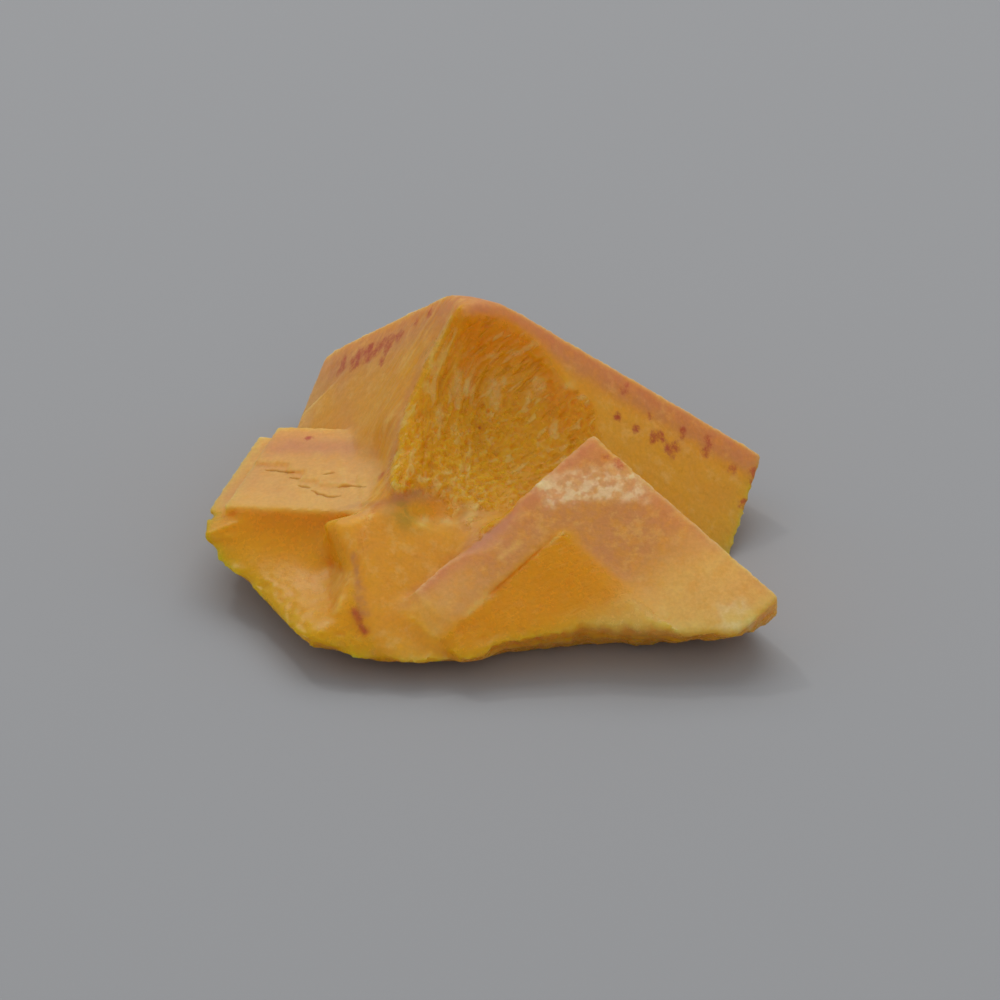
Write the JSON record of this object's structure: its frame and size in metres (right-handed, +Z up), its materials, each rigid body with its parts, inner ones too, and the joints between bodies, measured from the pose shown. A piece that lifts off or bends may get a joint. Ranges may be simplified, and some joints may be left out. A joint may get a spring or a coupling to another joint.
{
  "type": "fluorite specimen",
  "caption": "Cluster of intergrown honey-yellow fluorite cubes with a conchoidal hollow and a flat cleaved base.",
  "frame": {"origin": "the centre of the bounding box, on the level cleaved base", "axes": "+Z up from the base, +X to the right and -Y towards the front, where the hollow and the front crystal's face are"},
  "size_m": [0.0288, 0.0272, 0.0136],
  "materials": {
    "fluorite": "translucent honey-yellow crystal: satin outer faces, glossy breaks"
  },
  "bodies": {
    "root": {"fluorite_crystals": "fluorite"}
  },
  "joints": []
}
